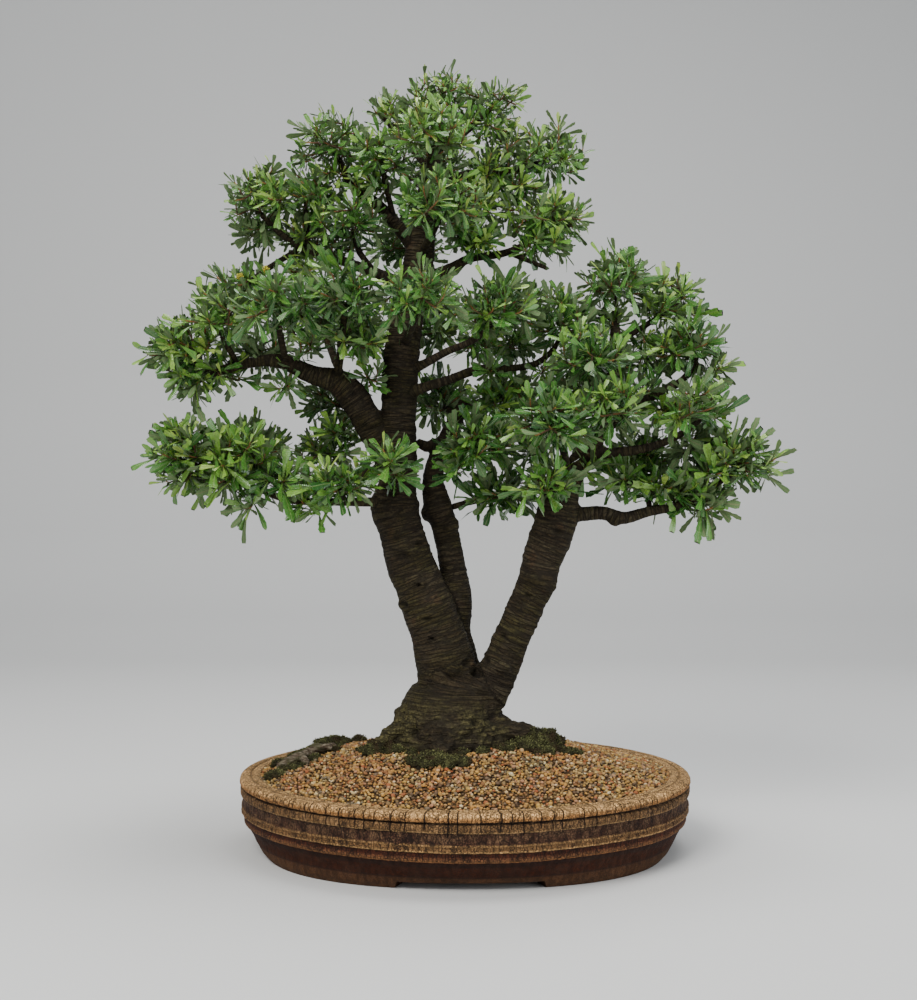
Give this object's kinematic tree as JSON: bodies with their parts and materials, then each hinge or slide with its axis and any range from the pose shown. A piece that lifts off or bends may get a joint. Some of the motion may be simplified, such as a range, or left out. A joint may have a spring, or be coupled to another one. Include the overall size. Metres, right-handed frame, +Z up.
{
  "type": "silver banksia bonsai",
  "caption": "Multi-trunk bonsai with toothed wedge leaves in whorls, planted in a low oval crackled stoneware pot under a pebble dressing with moss at the roots.",
  "frame": {"origin": "middle of the pot's footprint, on the surface that the pot stands on", "axes": "+Z up, +X to the right and -Y towards the viewer, seen from the tree's front"},
  "size_m": [0.6534, 0.3752, 0.7825],
  "materials": {
    "stoneware": "unglazed stoneware, crawled brown slip with fine dark cracks and tan edges, dull",
    "screen": "black moulded mesh",
    "potting_mix": "damp dark granular bonsai mix with roots",
    "pebbles": "small rounded ochre, cream, rust and grey pebbles, dull",
    "bark": "dark olive-brown ringed bark, dull, paler where worn",
    "leaf": "leathery green leaf, satin above with a pale midrib, felted silver-white below",
    "moss": "dark green moss, soft and matt",
    "weathered_wood": "grey-green weathered root, matt"
  },
  "bodies": {
    "root": {"pot": "stoneware", "drainage_screen_left": "screen", "drainage_screen_right": "screen", "potting_mix": "potting_mix", "pebble_dressing": "pebbles", "trunks_and_branches": "bark", "moss_right": "moss", "moss_front": "moss", "moss_left": "moss", "moss_back_left": "moss", "old_surface_root": "weathered_wood", "foliage_apex": "leaf", "foliage_apex_right": "leaf", "foliage_apex_left": "leaf", "foliage_crown_front": "leaf", "foliage_crown_right": "leaf", "foliage_crown_inner_right": "leaf", "foliage_crown_left": "leaf", "foliage_crown_inner_left": "leaf", "foliage_crown_back": "leaf", "foliage_upper_left": "leaf", "foliage_upper_left_inner": "leaf", "foliage_upper_front": "leaf", "foliage_upper_right": "leaf", "foliage_upper_back": "leaf", "foliage_inner_left": "leaf", "foliage_back_left_high": "leaf", "foliage_far_left": "leaf", "foliage_left_outer": "leaf", "foliage_left_front": "leaf", "foliage_left_inner_front": "leaf", "foliage_left_low_inner": "leaf", "foliage_left_back": "leaf", "foliage_middle_front": "leaf", "foliage_middle_back": "leaf", "foliage_gap_left_back": "leaf", "foliage_middle_right": "leaf", "foliage_right_mid_outer": "leaf", "foliage_right_back_mid": "leaf", "foliage_centre_back_low": "leaf", "foliage_centre_right_low": "leaf", "foliage_low_far_left": "leaf", "foliage_low_left": "leaf", "foliage_low_left_mid": "leaf", "foliage_low_left_back": "leaf", "foliage_low_left_front": "leaf", "foliage_trunk_front": "leaf", "foliage_right_top": "leaf", "foliage_right_top_outer": "leaf", "foliage_right_outer": "leaf", "foliage_right_inner": "leaf", "foliage_right_mid_low": "leaf", "foliage_right_front": "leaf", "foliage_right_front_high": "leaf", "foliage_right_back": "leaf", "foliage_centre_low": "leaf", "foliage_right_low_inner": "leaf", "foliage_right_low_outer": "leaf", "foliage_low_band": "leaf", "foliage_fork_front": "leaf"}
  },
  "joints": []
}
